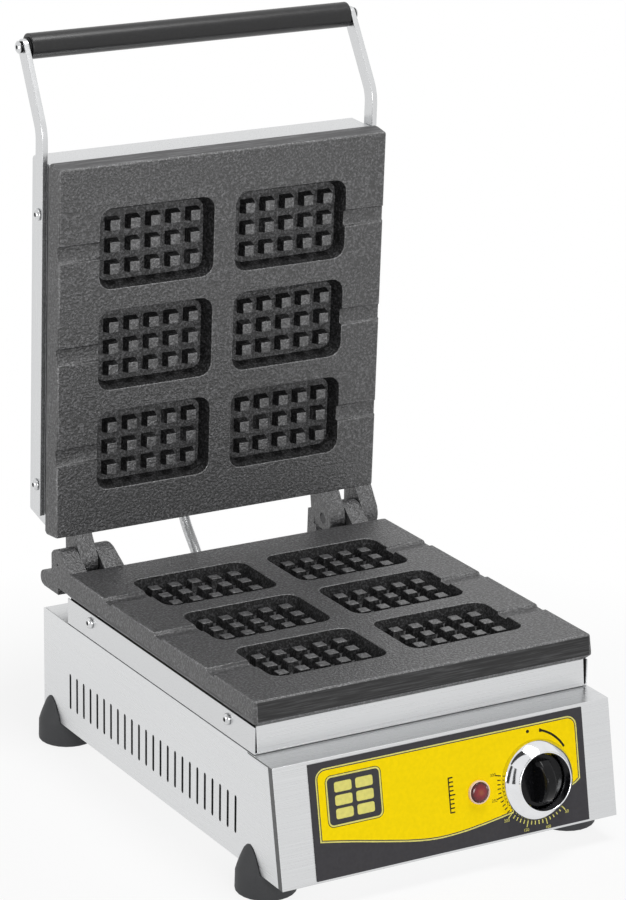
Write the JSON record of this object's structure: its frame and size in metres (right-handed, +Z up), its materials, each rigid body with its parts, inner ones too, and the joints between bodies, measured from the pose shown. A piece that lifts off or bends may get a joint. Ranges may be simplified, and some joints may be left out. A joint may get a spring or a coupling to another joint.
{
  "type": "waffle stick maker",
  "caption": "Countertop waffle stick maker with a hinged pair of cast plates, pegged pockets with stick grooves, a tube handle and a sloped control face.",
  "frame": {"origin": "on the table under the middle of the machine as it stands with its lid open", "axes": "+Z up, +X to the right of someone facing the control face, +Y towards the hinge"},
  "size_m": [0.2986, 0.4248, 0.5489],
  "materials": {
    "cast_plate": "coated, fine speckled grey",
    "stainless_sheet": "satin",
    "fastener": "bright",
    "dark_steel": "dark, oxidised",
    "foot_rubber": "satin black",
    "label": "charcoal with a yellow field",
    "chrome_trim": "polished",
    "lamp_ring": "satin cream",
    "lamp_red": "glossy red",
    "black_plastic": "glossy black",
    "insulation": "fibre board",
    "white_moulding": "matte",
    "copper": "drawn tube",
    "conduit_sleeve": "braided sleeve"
  },
  "bodies": {
    "base": {"bottom_cover": "stainless_sheet", "bottom_screw_front_left": "fastener", "bottom_screw_front_right": "fastener", "bottom_screw_rear_left": "fastener", "bottom_screw_rear_right": "fastener", "conduit_gland_base": "chrome_trim", "control_label": "label", "foot_front_left": "foot_rubber", "foot_front_right": "foot_rubber", "foot_rear_left": "foot_rubber", "foot_rear_right": "foot_rubber", "front_panel": "stainless_sheet", "hinge_pin_left": "dark_steel", "hinge_pin_right": "dark_steel", "inlet_gland": "black_plastic", "knob_bezel": "chrome_trim", "lamp_bezel": "lamp_ring", "lamp_body": "black_plastic", "lamp_lens": "lamp_red", "lid_conduit": "conduit_sleeve", "lower_clamp_screw": "fastener", "lower_element_clamp": "stainless_sheet", "lower_heating_element": "dark_steel", "lower_insulation": "insulation", "lower_plate": "cast_plate", "plate_tray": "stainless_sheet", "rear_panel": "stainless_sheet", "side_panel_left": "stainless_sheet", "side_panel_right": "stainless_sheet", "terminal_block": "white_moulding", "thermostat_body": "white_moulding", "thermostat_bulb": "copper", "tray_screw_front_left": "fastener", "tray_screw_front_right": "fastener", "tray_screw_rear_left": "fastener", "tray_screw_rear_right": "fastener"},
    "lid": {"arm_screw_front_left": "fastener", "arm_screw_front_right": "fastener", "arm_screw_rear_left": "fastener", "arm_screw_rear_right": "fastener", "conduit_gland_lid": "chrome_trim", "grip_bolt": "fastener", "grip_nut": "fastener", "grip_washer_left": "fastener", "grip_washer_right": "fastener", "handle_arm_left": "stainless_sheet", "handle_arm_right": "stainless_sheet", "handle_grip": "black_plastic", "lid_cover": "stainless_sheet", "upper_clamp_screw": "fastener", "upper_element_clamp": "stainless_sheet", "upper_heating_element": "dark_steel", "upper_insulation": "insulation", "upper_plate": "cast_plate"},
    "knob": {"control_knob": "black_plastic", "thermostat_shaft": "fastener"}
  },
  "joints": [
    {"name": "lid_hinge", "type": "hinge", "parent": "base", "child": "lid", "pos_m": [0, 0.15481, 0.147], "axis": [1, 0, 0], "range_deg": [0, 87.9], "deforming": ["lid_conduit"]},
    {"name": "thermostat_turn", "type": "hinge", "parent": "base", "child": "knob", "pos_m": [0.073, -0.19037, 0.05862], "axis": [0, -0.9807, 0.1954], "range_deg": [-270, 0]}
  ]
}
